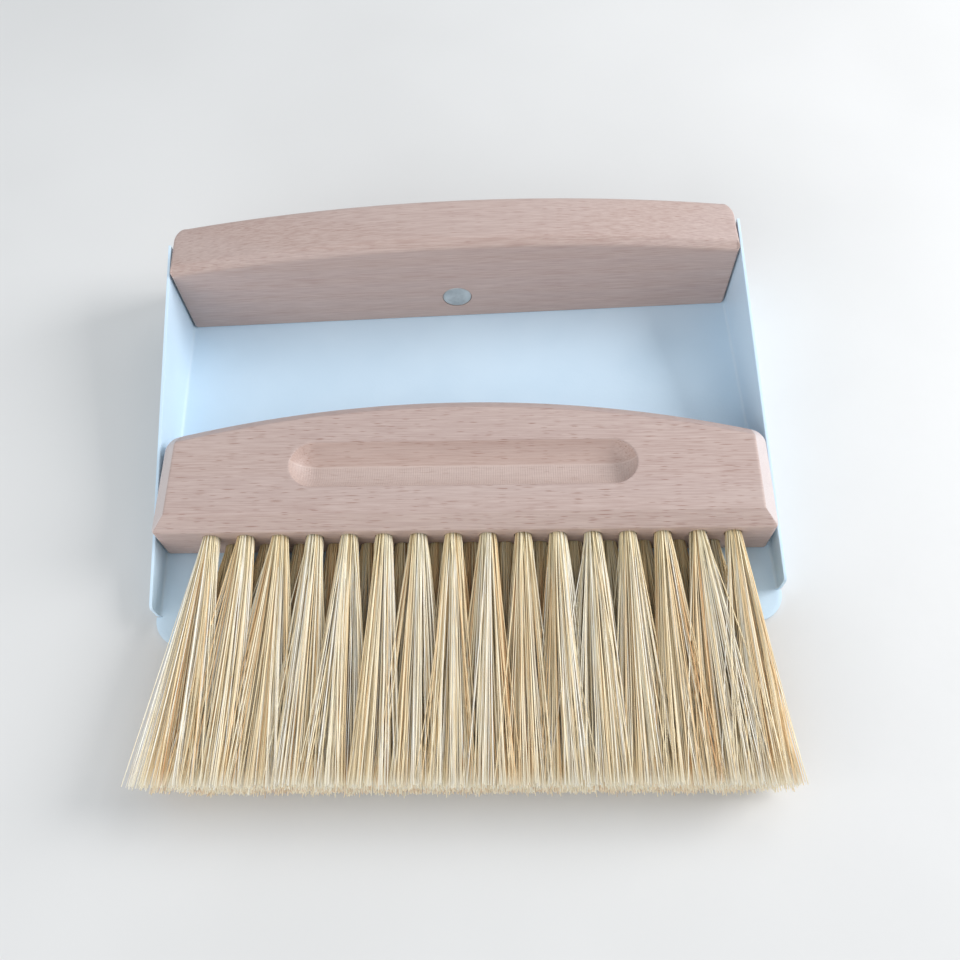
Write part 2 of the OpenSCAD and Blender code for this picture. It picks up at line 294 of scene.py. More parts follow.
def make_powder_coat():
    """Pale coat: two near colours mixed by the mottle, with a ripple and a fine grain as height."""
    material, tree, shader = new_material("powder_coat", Metallic=0.0, IOR=1.5)
    place = object_place(tree)
    uneven = use_group(tree, unevenness, place, Patch=22.0, Grain=1500.0)
    tone = remap(tree, uneven.outputs["Mottle"], 0.35, 0.68)
    coat = blend_colour(tree, tone, (0.615, 0.775, 0.90), (0.655, 0.81, 0.93))
    join(tree, coat, shader.inputs["Base Color"])
    join(tree, remap(tree, uneven.outputs["Fine"], 0.3, 0.7, 0.36, 0.48), shader.inputs["Roughness"])
    ripple = add(tree, "ShaderNodeTexNoise", inputs={"Scale": 420.0, "Detail": 1.0})
    join(tree, place, ripple.inputs["Vector"])
    height = arithmetic(tree, "ADD", ripple.outputs["Fac"], uneven.outputs["Fine"])
    bumped(tree, shader, height, 0.22, 0.12 * MM)
    return material


def make_floor_finish():
    """Plain pale floor with the slightest mottle."""
    material, tree, shader = new_material("pale_floor")
    uneven = use_group(tree, unevenness, object_place(tree), Patch=6.0, Grain=260.0)
    tone = remap(tree, uneven.outputs["Mottle"], 0.3, 0.7)
    paint = blend_colour(tree, tone, (0.70, 0.69, 0.67), (0.74, 0.73, 0.71))
    join(tree, paint, shader.inputs["Base Color"])
    join(tree, remap(tree, uneven.outputs["Fine"], 0.3, 0.7, 0.62, 0.75), shader.inputs["Roughness"])
    return material


powder_coat = make_powder_coat()
floor.data.materials.append(make_floor_finish())
print("finishes:", powder_coat.name, floor.data.materials[0].name)

# %% [markdown]
# ## Beech
# Beech is a pinkish tan wood with a fine even texture. Its mark is a scatter of short dark flecks,
# 2 to 5 mm long and a third of a millimetre wide, that lie along the grain. Two sizes of fleck are
# scattered apart from each other. Below them run faint growth bands and hair-fine fibres.
# All of it is worked out in three dimensions and stretched along the grain, so that a board's end
# shows dots where its face shows dashes, just as in a sawn board.

# %% Beech grain group
def build_beech():
    """Flecks are the middles of long Voronoi cells, kept at random, in two sizes; bands are rings."""
    tree, source, result = new_group(
        "beech_grain",
        [("Vector", "NodeSocketVector", None), ("Fleck", "NodeSocketFloat", 0.6),
         ("Band", "NodeSocketFloat", 0.5)],
        [("Color", "NodeSocketColor"), ("Roughness", "NodeSocketFloat"), ("Height", "NodeSocketFloat")])
    place = source.outputs["Vector"]

    fleck = None
    for size, rarity in (((190.0, 2200.0, 1900.0), 0.45), ((110.0, 1800.0, 1500.0), 0.66)):
        cells = add(tree, "ShaderNodeTexVoronoi", feature="F1", inputs={"Scale": 1.0, "Randomness": 1.0})
        join(tree, scaled(tree, place, size), cells.inputs["Vector"])
        near = remap(tree, cells.outputs["Distance"], 0.10, 0.40, 1.0, 0.0)
        chance = add(tree, "ShaderNodeSeparateColor")
        join(tree, cells.outputs["Color"], chance.inputs["Color"])
        kept = remap(tree, chance.outputs["Red"], rarity, 1.0)
        layer = arithmetic(tree, "MULTIPLY", near, kept)
        fleck = layer if fleck is None else arithmetic(tree, "MAXIMUM", fleck, layer)
    fleck = arithmetic(tree, "MULTIPLY", fleck, source.outputs["Fleck"])

    fibres = add(tree, "ShaderNodeTexNoise", inputs={"Scale": 1.0, "Detail": 4.0, "Roughness": 0.6})
    join(tree, scaled(tree, place, (70.0, 2300.0, 2300.0)), fibres.inputs["Vector"])
    hair = remap(tree, fibres.outputs["Fac"], 0.32, 0.7)

    bands = add(tree, "ShaderNodeTexWave", wave_type="RINGS", rings_direction="X", wave_profile="SIN",
                inputs={"Scale": 1.0, "Distortion": 5.0, "Detail": 2.0, "Detail Scale": 1.2,
                        "Detail Roughness": 0.5})
    join(tree, scaled(tree, place, (2.5, 22.0, 34.0)), bands.inputs["Vector"])
    ring = remap(tree, bands.outputs["Fac"], 0.1, 0.95)
    ring = arithmetic(tree, "MULTIPLY", ring, source.outputs["Band"])

    patches = add(tree, "ShaderNodeTexNoise", inputs={"Scale": 1.0, "Detail": 2.0})
    join(tree, scaled(tree, place, (9.0, 45.0, 45.0)), patches.inputs["Vector"])
    patch = remap(tree, patches.outputs["Fac"], 0.3, 0.7)

    body = blend_colour(tree, patch, (0.435, 0.31, 0.275), (0.475, 0.355, 0.315))
    body = blend_colour(tree, ring, body, (0.43, 0.295, 0.25))
    body = blend_colour(tree, arithmetic(tree, "MULTIPLY", hair, 0.72), body, (0.59, 0.465, 0.415))
    body = blend_colour(tree, fleck, body, (0.27, 0.135, 0.095))
    join(tree, body, result.inputs["Color"])
    join(tree, remap(tree, fibres.outputs["Fac"], 0.3, 0.7, 0.42, 0.54), result.inputs["Roughness"])
    join(tree, arithmetic(tree, "SUBTRACT", fibres.outputs["Fac"], fleck), result.inputs["Height"])
    return tree


beech_grain = build_beech()
print("group:", beech_grain.name)

# %% [markdown]
# ## Tool marks and painted light on the brush board
# The brush board has a routed groove and four bevels. The far half of the groove is tinted warmer and
# the near half paler, as painted shade on the far wall and painted light on the near one; the cutter
# has chattered the near half, and a thin line runs between them. Both end bevels are paled as a
# painted highlight of the strong light from the right. All of these are masks worked out from the
# place on the board, so they stay in place on it.

# %% Groove marks group
CHATTER_PER_METRE = 7400.0  # radians of a wave with a crest every 0.85 mm
END_BEVEL = 5.1 * MM
GROOVE_FROM_FRONT = 25 * MM


def build_groove_marks():
    """Masks of a routed groove whose middle, on the upper face, is the origin: Inside is one between
    the rims, Front is one on its near half, Line is the middle line, and Chatter is a fine wave that
    the cutter leaves across the near half."""
    tree, source, result = new_group(
        "groove_marks",
        [("Vector", "NodeSocketVector", None), ("Half", "NodeSocketFloat", 64.5 * MM),
         ("Rim", "NodeSocketFloat", 9.8 * MM)],
        [("Inside", "NodeSocketFloat"), ("Front", "NodeSocketFloat"), ("Line", "NodeSocketFloat"),
         ("Chatter", "NodeSocketFloat")])
    parts = add(tree, "ShaderNodeSeparateXYZ")
    join(tree, source.outputs["Vector"], parts.inputs["Vector"])
    x, y, z = (parts.outputs[axis] for axis in "XYZ")
    below = remap(tree, z, -0.6 * MM, -0.1 * MM, 1.0, 0.0)
    above = remap(tree, z, -8.5 * MM, -7.5 * MM, 0.0, 1.0)
    in_length = arithmetic(tree, "LESS_THAN", arithmetic(tree, "ABSOLUTE", x), source.outputs["Half"])
    in_width = arithmetic(tree, "LESS_THAN", arithmetic(tree, "ABSOLUTE", y), source.outputs["Rim"])
    inside = arithmetic(tree, "MULTIPLY", arithmetic(tree, "MULTIPLY", below, above),
                        arithmetic(tree, "MULTIPLY", in_length, in_width))
    front = arithmetic(tree, "MULTIPLY", remap(tree, y, 0.8 * MM, 2.2 * MM, 1.0, 0.0), inside)
    off_line = arithmetic(tree, "ABSOLUTE", arithmetic(tree, "SUBTRACT", y, 1.7 * MM))
    line = arithmetic(tree, "MULTIPLY", remap(tree, off_line, 0.0, 0.6 * MM, 1.0, 0.0), inside)
    uneven = add(tree, "ShaderNodeTexNoise", inputs={"Scale": 60.0, "Detail": 1.0})
    join(tree, source.outputs["Vector"], uneven.inputs["Vector"])
    drift = arithmetic(tree, "MULTIPLY", uneven.outputs["Fac"], 9.0)
    phase = arithmetic(tree, "MULTIPLY_ADD", x, CHATTER_PER_METRE, drift)
    wave = remap(tree, arithmetic(tree, "SINE", phase), -0.6, 0.9)
    for socket, value in (("Inside", inside), ("Front", front), ("Line", line),
                          ("Chatter", arithmetic(tree, "MULTIPLY", wave, front))):
        join(tree, value, result.inputs[socket])
    return tree


groove_marks = build_groove_marks()
print("group:", groove_marks.name)


# %% Beech finish
def mark_board(tree, colour, height, turn, middle):
    """The colour and height of a board with a routed groove, whose middle on the face is middle.

    The painted highlight on the end bevels shows where a point is further past the end bevel's edge
    than past the front bevel's, so that the two meet at a mitre."""
    shifted = add(tree, "ShaderNodeVectorMath", operation="SUBTRACT", inputs={1: tuple(middle)})
    join(tree, object_place(tree), shifted.inputs[0])
    local = scaled(tree, shifted.outputs["Vector"], (1.0, 1.0, 1.0), turn)
    parts = add(tree, "ShaderNodeSeparateXYZ")
    join(tree, local, parts.inputs["Vector"])
    past_end = arithmetic(tree, "SUBTRACT", arithmetic(tree, "ABSOLUTE", parts.outputs["X"]),
                          float(block_half - END_BEVEL))
    past_front = arithmetic(tree, "SUBTRACT", END_BEVEL - GROOVE_FROM_FRONT, parts.outputs["Y"])
    ahead = arithmetic(tree, "SUBTRACT", past_end, arithmetic(tree, "MAXIMUM", past_front, 0.0))
    # Painted highlight: both end bevels are paled towards near white, for the strong light from the
    # right.
    end_bevel_highlight = remap(tree, ahead, -0.2 * MM, 0.3 * MM, 0.0, 0.5)
    colour = blend_colour(tree, end_bevel_highlight, colour, (0.74, 0.71, 0.71))
    tool = use_group(tree, groove_marks, local)
    # Painted shade and painted light: the groove's far half is tinted warmer and its near half paler,
    # for the way light falls on its two walls; the chatter and middle line below are tool marks.
    far = arithmetic(tree, "SUBTRACT", tool.outputs["Inside"], tool.outputs["Front"])
    colour = blend_colour(tree, arithmetic(tree, "MULTIPLY", far, 0.20), colour, (0.60, 0.40, 0.31))
    pale = arithmetic(tree, "MULTIPLY", tool.outputs["Front"], 0.35)
    colour = blend_colour(tree, pale, colour, (0.62, 0.49, 0.43))
    trace = arithmetic(tree, "MAXIMUM", arithmetic(tree, "MULTIPLY", tool.outputs["Line"], 0.35),
                       arithmetic(tree, "MULTIPLY", tool.outputs["Chatter"], 0.10))
    colour = blend_colour(tree, trace, colour, (0.74, 0.62, 0.56))
    return colour, arithmetic(tree, "ADD", height, tool.outputs["Chatter"])


def make_beech(name, offset, fleck, band, turn=0.0, calm=False, groove_middle=None):
    """Beech cut from its own part of the tree: the grain is moved and turned before it is worked out.

    With calm, the face at the object's Y of zero is quarter-sawn: its flecks are fainter. With a
    groove_middle, the board also has the marks of the tools, painted shade and light on the two
    halves of its groove, and a painted highlight on its end bevels."""
    material, tree, shader = new_material(name, Metallic=0.0, IOR=1.46)
    moved = add(tree, "ShaderNodeVectorMath", operation="ADD", inputs={1: offset})
    join(tree, object_place(tree), moved.inputs[0])
    along = scaled(tree, moved.outputs["Vector"], (1.0, 1.0, 1.0), turn)
    grain = use_group(tree, beech_grain, along, Fleck=fleck, Band=band)
    if calm:
        parts = add(tree, "ShaderNodeSeparateXYZ")
        join(tree, object_place(tree), parts.inputs["Vector"])
        behind_face = remap(tree, parts.outputs["Y"], 0.4 * MM, 1.6 * MM, 0.35 * fleck, fleck)
        join(tree, behind_face, grain.inputs["Fleck"])
    colour, height = grain.outputs["Color"], grain.outputs["Height"]
    if groove_middle is not None:
        colour, height = mark_board(tree, colour, height, turn, groove_middle)
    join(tree, colour, shader.inputs["Base Color"])
    join(tree, grain.outputs["Roughness"], shader.inputs["Roughness"])
    bumped(tree, shader, height, 0.35, 0.15 * MM)
    return material


print("end bevels are", round(END_BEVEL / MM, 1), "mm wide")

# %% [markdown]
# ## Where the brush lies
# The brush lies slightly turned in the pan. Its own directions are read from the solid model: the
# back ends of the first and last tuft's roots show which way the row runs, and the tufts point
# square to that row.

# %% Brush directions from the solid model
def node_points(node):
    """All corner points of a solid-model node, as an (n, 3) array."""
    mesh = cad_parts[node].data
    points = np.empty(len(mesh.vertices) * 3, dtype=np.float32)
    mesh.vertices.foreach_get("co", points)
    return np.unique(points.reshape(-1, 3).round(6), axis=0)


def far_end(points, direction, depth=0.02 * MM):
    """The middle of the flat end that lies furthest along direction."""
    reach = points @ direction
    end = points[reach > reach.max() - depth]
    return (end.min(axis=0) + end.max(axis=0)) / 2


def unit(vector):
    """The vector at length one."""
    return vector / np.linalg.norm(vector)


BACK = np.array([0.0, 1.0, 0.0])
UP = np.array([0.0, 0.0, 1.0])
upper_names = sorted(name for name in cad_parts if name.startswith("upper_tuft"))
lower_names = sorted(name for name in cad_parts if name.startswith("lower_tuft"))
first_root = far_end(node_points(upper_names[0]), BACK, 0.4 * MM)
last_root = far_end(node_points(upper_names[-1]), BACK, 0.4 * MM)
across = unit((last_root - first_root) * (1, 1, 0))
inward = np.cross(UP, across)
brush_turn = math.atan2(across[1], across[0])
block_points = node_points("brush_block")
front_reach = (block_points @ inward).min()
block_depth = (block_points @ inward).max() - front_reach
block_half = ((block_points @ across).max() - (block_points @ across).min()) / 2
block_middle = ((block_points @ across).max() + (block_points @ across).min()) / 2
block_low, block_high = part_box("brush_block")
block_t = block_high[2] - block_low[2]
arch_middle = across * block_middle + inward * (front_reach + block_depth) + UP * block_low[2]
print("brush turned", round(math.degrees(brush_turn), 2), "degrees; block",
      [round(v / MM, 1) for v in (2 * block_half, block_depth, block_t)], "mm")

# %% [markdown]
# ## Boards
# Both boards are the same kind of shape: an outline with one arched edge, two straight ends and one
# straight edge, given a thickness, with bevels that sanding has softened. The outline is a function
# of how far it is drawn in, so a bevel is just a stack of outlines, each a little smaller and a
# little lower. That gives clean rows of faces, which a boolean of simple solids would not.

# %% Outline of an arched board
OUTLINE_STEPS = {"front": 90, "corner": 10, "end": 16, "arch": 110}


def arched_outline(half, depth, arch_r, corner_r, front_r, arch, end, front):
    """Closed outline, anticlockwise from the left of the straight front edge, as an (n, 2) array.

    The arch is part of a circle of radius arch_r whose top is at the origin. Each side is drawn in
    by its own amount, and the rounded corners shrink by the larger amount of the sides they join."""
    n = OUTLINE_STEPS
    half_in = half - end
    low = -depth + front
    arc_r = arch_r - arch
    back_r = max(corner_r - max(arch, end), 0.15 * MM)
    fore_r = max(front_r - max(front, end), 0.15 * MM)
    cx = half_in - back_r
    cy = -arch_r + math.sqrt((arc_r - back_r) ** 2 - cx ** 2)
    lean = math.atan2(cy + arch_r, cx)

    def arc(x, y, r, start, stop, count):
        angle = np.linspace(start, stop, count, endpoint=False)
        return np.column_stack([x + r * np.cos(angle), y + r * np.sin(angle)])

    def line(a, b, count):
        t = np.linspace(0.0, 1.0, count, endpoint=False)[:, None]
        return np.array(a) * (1 - t) + np.array(b) * t

    fx = half_in - fore_r
    fy = low + fore_r
    quarter = math.pi / 2
    return np.vstack([
        line((-fx, low), (fx, low), n["front"]),
        arc(fx, fy, fore_r, -quarter, 0.0, n["corner"]),
        line((half_in, fy), (half_in, cy), n["end"]),
        arc(cx, cy, back_r, 0.0, lean, n["corner"]),
        arc(0.0, -arch_r, arc_r, lean, math.pi - lean, n["arch"]),
        arc(-cx, cy, back_r, math.pi - lean, math.pi, n["corner"]),
        line((-half_in, cy), (-half_in, fy), n["end"]),
        arc(-fx, fy, fore_r, math.pi, math.pi + quarter, n["corner"]),
    ])


def round_slot(half, r, y):
    """A slot outline with round ends, with a point for every point of arched_outline."""
    n = OUTLINE_STEPS
    side = 2 * n["corner"] + n["end"]
    t_front = np.linspace(-half, half, n["front"], endpoint=False)
    t_back = np.linspace(half, -half, n["arch"], endpoint=False)
    right = np.linspace(-math.pi / 2, math.pi / 2, side, endpoint=False)
    left = right + math.pi
    return np.vstack([
        np.column_stack([t_front, np.full_like(t_front, y - r)]),
        np.column_stack([half + r * np.cos(right), y + r * np.sin(right)]),
        np.column_stack([t_back, np.full_like(t_back, y + r)]),
        np.column_stack([-half + r * np.cos(left), y + r * np.sin(left)]),
    ])


def along_outline(arch, end, front):
    """A value for every outline point: its side's own, and a straight change round each corner."""
    n = OUTLINE_STEPS
    up_corner = np.linspace(0.0, 1.0, n["corner"], endpoint=False)
    return np.concatenate([
        np.full(n["front"], front), front + (end - front) * up_corner, np.full(n["end"], end),
        end + (arch - end) * up_corner, np.full(n["arch"], arch), arch + (end - arch) * up_corner,
        np.full(n["end"], end), end + (front - end) * up_corner])


print("outline points:", len(arched_outline(0.1, 0.05, 0.5, 0.005, 0.001, 0.0, 0.0, 0.0)))

# %% Soft bevel and skin
def soft_bevel(softness, steps):
    """Pairs (drawn in, dropped) across a 45 degree bevel of size one whose two edges are rounded.

    Each rounded edge is an eighth of a circle of radius softness that meets side and bevel evenly."""
    run = softness * math.tan(math.pi / 8)
    angle = np.linspace(0.0, math.pi / 4, steps)
    drawn = softness - softness * np.cos(angle)
    dropped = 1 + run - softness * np.sin(angle)
    return np.concatenate([
        np.column_stack([drawn, dropped]), np.column_stack([dropped[::-1], drawn[::-1]])])


def skin(rings):
    """Points and four-sided faces of a stack of closed rings, each an (n, 3) array."""
    rows, columns = len(rings), len(rings[0])
    index = np.arange(rows * columns).reshape(rows, columns)
    below, above = index[:-1], index[1:]
    faces = np.stack([below, np.roll(below, -1, 1), np.roll(above, -1, 1), above], axis=-1)
    return np.concatenate(rings), faces.reshape(-1, 4)


MERGE_DISTANCE = 0.02 * MM
SHARP_ANGLE = math.radians(40)


def tidy_surface(piece, sharp=False):
    """Merges points that fall together, makes faces point outwards, and marks sharp edges."""
    work = bmesh.new()
    work.from_mesh(piece.data)
    bmesh.ops.remove_doubles(work, verts=work.verts, dist=MERGE_DISTANCE)
    bmesh.ops.dissolve_degenerate(work, edges=work.edges, dist=MERGE_DISTANCE / 4)
    bmesh.ops.recalc_face_normals(work, faces=work.faces)
    work.to_mesh(piece.data)
    work.free()
    piece.data.shade_smooth()
    if sharp:
        piece.data.set_sharp_from_angle(angle=SHARP_ANGLE)
    return piece


def finish_piece(piece, body, slot, material, *nodes):
    """Gives a piece its finish, lets it ride on a body, and lets it stand for solid-model nodes."""
    piece.data.materials.clear()
    piece.data.materials.append(material)
    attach(piece, body)
    if nodes:
        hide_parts(*nodes)
    print(piece.name, "-", len(piece.data.polygons), "faces")


print("bevel points:", len(soft_bevel(0.9, 6)))

# %% [markdown]
# ## Drilled pockets
# The magnets sit in round pockets, the tufts in drilled holes and the screw heads in countersunk
# holes. All three are turned shapes, so one function makes the cutters from a profile, and one
# Boolean takes them all away from a piece at once. The new edges stay crisp, as a drill leaves them.

# %% Turned shapes and cuts
def turned(mouth, direction, profile, steps):
    """A closed skin turned about a line: each profile pair is a radius and a way along direction."""
    side = unit(np.cross(direction, UP if abs(direction[2]) < 0.9 else BACK))
    other = np.cross(direction, side)
    turn = np.linspace(0.0, 2 * math.pi, steps, endpoint=False)[:, None]
    circle = np.cos(turn) * side + np.sin(turn) * other
    return skin([mouth + direction * along + radius * circle for radius, along in profile])


def drill(mouth, direction, radius, depth, steps):
    """A plain round cutter from one millimetre outside a mouth to depth inside it."""
    return turned(mouth, direction, [(0.0, -MM), (radius, -MM), (radius, depth), (0.0, depth)], steps)


def cut(piece, cutters):
    """Takes closed skins away from a piece, whose modifiers are worked out first."""
    starts = np.cumsum([0] + [len(points) for points, _ in cutters])
    points = np.concatenate([points for points, _ in cutters])
    faces = np.concatenate([faces + start for (_, faces), start in zip(cutters, starts)])
    tool = tidy_surface(put_mesh("cutter", points, [faces]))
    pockets = piece.modifiers.new("pockets", "BOOLEAN")
    pockets.operation = "DIFFERENCE"
    pockets.solver = "EXACT"
    pockets.object = tool
    graph = bpy.context.evaluated_depsgraph_get()
    mesh = bpy.data.meshes.new_from_object(piece.evaluated_get(graph))
    piece.modifiers.clear()
    piece.data = mesh
    bpy.data.objects.remove(tool)
    mesh.shade_smooth()
    mesh.set_sharp_from_angle(angle=SHARP_ANGLE)
    return piece


MAGNET_POCKET_R = 6.05 * MM
HANDLE_POCKET_DEPTH = 4.3 * MM
BRUSH_POCKET_DEPTH = 4.4 * MM
TUFT_HOLE_R = 3.3 * MM
TUFT_HOLE_DEPTH = 6.0 * MM  # only the mouths are ever seen
ROOT_DEPTH = 12.95 * MM


def tuft_mouth(node):
    """The middle of a tuft hole's mouth: the root's back end is ROOT_DEPTH inside the board."""
    return far_end(node_points(node), inward) - inward * ROOT_DEPTH


print("first tuft hole at", (tuft_mouth(upper_names[0]) / MM).round(1), "mm")

# %% [markdown]
# ## Handle board
# The handle stands on its straight edge. Its arch is where the hand goes, so both long edges of the
# arch are well rounded, as are the upright corners at the back of its ends. The corners in front and
# the foot are only just broken. The outline is drawn in by a different amount on each side, and the
# depth follows the same amounts.

# %% Handle board
HANDLE_ARCH_R = 705 * MM
HANDLE_CORNER_R = 1.6 * MM
HANDLE_FOOT_R = 1.5 * MM
HANDLE_BACK_R = 7.0 * MM
handle_low, handle_high = (np.array(corner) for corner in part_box("pan_handle"))
handle_half = (handle_high[0] - handle_low[0]) / 2
handle_rise = handle_high[2] - handle_low[2]


def make_handle():
    """Rings from the middle of the front face, over both bevels, to the middle of the back face.

    Each triple holds how far the rings are drawn in along the arch, the ends and the foot. Towards
    the back every ring is also made shorter, so that its ends follow a circle seen from above."""
    front_in = (2.8 * MM, 0.7 * MM, 0.4 * MM)
    back_in = (1.8 * MM, 0.5 * MM, 0.3 * MM)
    centre_line = round_slot(handle_half * 0.8, 0.0, -handle_rise / 2)
    rings = []

    def ring(flat, y):
        y = np.broadcast_to(y, len(flat))
        behind = np.clip(y - handle_high[1] + HANDLE_BACK_R, 0.0, HANDLE_BACK_R)
        shorter = 1 - (HANDLE_BACK_R - np.sqrt(HANDLE_BACK_R ** 2 - behind ** 2)) / handle_half
        rings.append(np.column_stack([flat[:, 0] * shorter, y, flat[:, 1] + handle_high[2]]))

    def outline(drawn, sides):
        return arched_outline(handle_half, handle_rise, HANDLE_ARCH_R, HANDLE_CORNER_R, HANDLE_FOOT_R,
                              *(side * drawn for side in sides))

    bevel = soft_bevel(0.9, 6)
    round_back = soft_bevel(1.65, 9)
    front_local = along_outline(*front_in)
    back_local = along_outline(*back_in)
    front_face = outline(bevel[-1, 0] + 0.35, front_in)
    back_face = outline(round_back[-1, 0] + 0.2, back_in)
    for share in (1.0, 0.5, 0.0):
        ring(centre_line * share + front_face * (1 - share), handle_low[1])
    for drawn, dropped in bevel[::-1]:
        ring(outline(drawn, front_in), handle_low[1] + front_local * dropped)
    side_front = handle_low[1] + front_local * bevel[0, 1]
    side_back = handle_high[1] - back_local * round_back[0, 1]
    for share in np.sin(np.linspace(0.15, 1.5, 26)):
        ring(outline(0.0, front_in), side_front * (1 - share) + side_back * share)
    for drawn, dropped in round_back:
        ring(outline(drawn, back_in), handle_high[1] - back_local * dropped)
    for share in (0.0, 0.5, 1.0):
        ring(centre_line * share + back_face * (1 - share), handle_high[1])
    points, faces = skin(rings)
    return tidy_surface(put_mesh("handle_board", points, [faces]))


handle_beech = make_beech("beech_handle", (0.11, 0.027, 0.031), fleck=0.45, band=0.6, calm=True)
handle_board = make_handle()
magnet_face = far_end(node_points("pan_magnet"), -BACK)
face_middle = magnet_face * (1, 0, 1)  # the handle's front face is at a Y of zero
cut(handle_board, [drill(face_middle, BACK, MAGNET_POCKET_R, HANDLE_POCKET_DEPTH, 64)])
finish_piece(handle_board, "pan", "beech", handle_beech, "pan_handle")

# %% [markdown]
# ## Brush board
# The brush board lies flat, with its arch towards the handle. A round-nosed cutter has left a groove
# for the fingers in its upper face. The upper face is a band of rings that changes from the board's
# outline to the groove's, and the groove goes on as smaller and deeper slots down to a line.

# %% Brush board with its finger groove
GROOVE_HALF_LENGTH = 64 * MM
GROOVE_CUTTER = 10 * MM
GROOVE_DEPTH = 6.5 * MM
BLOCK_ARCH_R = 434 * MM
BLOCK_CORNER_R = 6.5 * MM
BLOCK_FRONT_R = 1.8 * MM


def make_brush_board():
    """Rings from the middle of the under face, over the sides and the upper face, into the groove.

    In the groove a ring of radius r lies at the depth where a ball of the cutter's radius, sunk by
    the groove's depth, has that radius."""
    bevel_in, foot_in = 5.3 * MM, 1.2 * MM
    groove_y = GROOVE_FROM_FRONT - block_depth
    rings = []

    def ring(flat, z):
        rings.append(arch_middle + flat[:, :1] * across + flat[:, 1:] * inward + z * UP)

    def outline(drawn):
        return arched_outline(block_half, block_depth, BLOCK_ARCH_R, BLOCK_CORNER_R, BLOCK_FRONT_R,
                              drawn, drawn, drawn)

    foot = soft_bevel(0.8, 4) * foot_in
    top = soft_bevel(0.3, 5) * bevel_in
    under_face = outline(foot[-1, 0] + 0.3 * MM)
    under_line = round_slot(block_half * 0.8, 0.0, -block_depth / 2)
    for share in (1.0, 0.5, 0.0):
        ring(under_line * share + under_face * (1 - share), 0.0)
    for drawn, dropped in foot[::-1]:
        ring(outline(drawn), dropped)
    for share in np.linspace(0.15, 0.85, 5):
        ring(outline(0.0), foot[0, 1] * (1 - share) + (block_t - top[0, 1]) * share)
    for drawn, dropped in top:
        ring(outline(drawn), block_t - dropped)

    rim_r = math.sqrt(GROOVE_DEPTH * (2 * GROOVE_CUTTER - GROOVE_DEPTH))
    travel = GROOVE_HALF_LENGTH - rim_r
    lip = 0.45 * MM
    face = outline(top[-1, 0] + 0.3 * MM)
    rim = round_slot(travel, rim_r + 2 * lip, groove_y)
    for share in (0.0, 0.35, 0.7, 1.0):
        ring(rim * share + face * (1 - share), block_t)
    ring(round_slot(travel, rim_r + lip, groove_y), block_t)
    ring(round_slot(travel, rim_r + 0.3 * lip, groove_y), block_t - 0.12 * lip)
    ring(round_slot(travel, rim_r - 0.15 * lip, groove_y), block_t - 0.45 * lip)
    steepest = math.acos((GROOVE_CUTTER - GROOVE_DEPTH) / GROOVE_CUTTER)
    for angle in np.linspace(steepest * 0.93, 0.0, 16):
        floor_z = block_t - GROOVE_DEPTH
        ring(round_slot(travel, GROOVE_CUTTER * math.sin(angle), groove_y),
             floor_z + GROOVE_CUTTER * (1 - math.cos(angle)))
    points, faces = skin(rings)
    return tidy_surface(put_mesh("brush_board", points, [faces]))


groove_middle = arch_middle + inward * (GROOVE_FROM_FRONT - block_depth) + UP * block_t
brush_beech = make_beech("beech_brush", (0.02, 0.055, 0.012), fleck=0.75, band=0.35, turn=-brush_turn,
                         groove_middle=groove_middle)
brush_board = make_brush_board()
brush_face = far_end(node_points("brush_magnet"), inward) + inward * 0.2 * MM
tuft_holes = [drill(tuft_mouth(name), inward, TUFT_HOLE_R, TUFT_HOLE_DEPTH, 32)
              for name in upper_names + lower_names]
cut(brush_board, tuft_holes + [drill(brush_face, -inward, MAGNET_POCKET_R, BRUSH_POCKET_DEPTH, 64)])
finish_piece(brush_board, "brush", "beech", brush_beech, "brush_block")

# %% [markdown]
# ## Folded pan
# The pan is one sheet: a flat floor, two bends and two tapering walls. In front of the walls the
# floor runs out to their outer faces and ends in a lip with rounded corners. The sheet's middle
# surface is worked out as three kinds of patch that share their edge points, and the Solidify and
# Bevel modifiers then give it its thickness and its softened edges, as the coat does.

# %% Middle surface of the sheet
SHEET = 1.0 * MM
BEND_R = 1.2 * MM
WALL_CORNER_R = 3 * MM
tray_low, tray_high = (np.array(corner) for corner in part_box("pan_tray"))
pan_half = (tray_high[0] - tray_low[0]) / 2
WALL_FRONT = -130.5 * MM
WALL_BACK = 14 * MM
WALL_FRONT_TOP = 9.8 * MM
wall_back_top = tray_high[2]
LIP_R = 11 * MM
flat_half = pan_half - SHEET - BEND_R
RELIEF = 0.3 * MM
floor_columns = np.linspace(-flat_half, flat_half, 61)


def grid_faces(rows, columns, start):
    """Four-sided faces of a grid of rows by columns points, numbered from start."""
    index = start + np.arange(rows * columns).reshape(rows, columns)
    return np.stack([index[:-1, :-1], index[:-1, 1:], index[1:, 1:], index[1:, :-1]], -1).reshape(-1, 4)


def floor_patch(rows):
    """The floor between the bends: a plain grid with the given rows."""
    gx, gy = np.meshgrid(floor_columns, rows)
    return np.stack([gx, gy, np.full_like(gx, SHEET / 2)], -1)


def lip_patch():
    """The lip: rows whose half width follows the round corners, from the front edge back."""
    angle = np.linspace(0.0, math.pi / 2, 15)
    y = np.append(tray_low[1] + LIP_R * (1 - np.cos(angle)), WALL_FRONT)
    half = np.append(pan_half - LIP_R * (1 - np.sin(angle)), pan_half)
    x = np.concatenate([[-pan_half], floor_columns, [pan_half]]) / pan_half
    gx = x[None, :] * half[:, None]
    gy = np.repeat(y[:, None], len(x), 1)
    return np.stack([gx, gy, np.full_like(gx, SHEET / 2)], -1)


